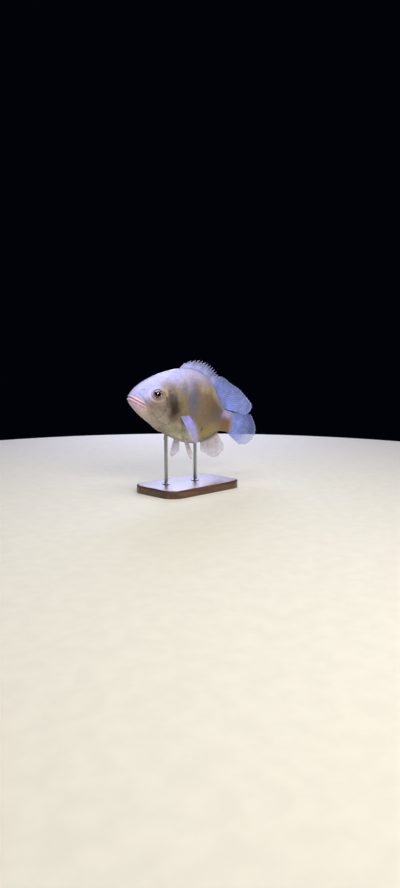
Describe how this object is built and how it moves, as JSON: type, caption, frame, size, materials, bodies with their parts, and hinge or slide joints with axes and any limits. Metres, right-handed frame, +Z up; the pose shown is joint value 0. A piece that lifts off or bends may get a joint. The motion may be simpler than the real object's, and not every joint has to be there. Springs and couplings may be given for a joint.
{
  "type": "oscar fish",
  "caption": "Life-size adult oscar fish, pale form, in a turning swim, held over a flat wooden base by short steel rods.",
  "frame": {"origin": "centre of the stand base's underside, on the floor", "axes": "+Z up, the fish's snout towards -X and its tail towards +X, its left side towards -Y"},
  "size_m": [0.2634, 0.0939, 0.1962],
  "materials": {
    "skin": "moist scaled skin, satin",
    "fin": "thin translucent membrane over rays, satin",
    "eye": "wet clear cornea",
    "stand_wood": "dark stained, satin varnish",
    "stand_steel": "brushed"
  },
  "bodies": {
    "root": {"head": "skin", "lower_jaw": "skin", "gill_cover_right": "skin", "gill_cover_left": "skin", "eye_right": "eye", "eye_left": "eye", "trunk": "skin", "rear_trunk": "skin", "tail_stalk": "skin", "dorsal_fin_spiny": "fin", "dorsal_fin_soft": "fin", "anal_fin": "fin", "tail_fin": "fin", "pectoral_fin_right": "fin", "pectoral_fin_left": "fin", "pelvic_fin_right": "fin", "pelvic_fin_left": "fin", "stand_base": "stand_wood", "stand_rod_front": "stand_steel", "stand_rod_rear": "stand_steel"}
  },
  "joints": []
}
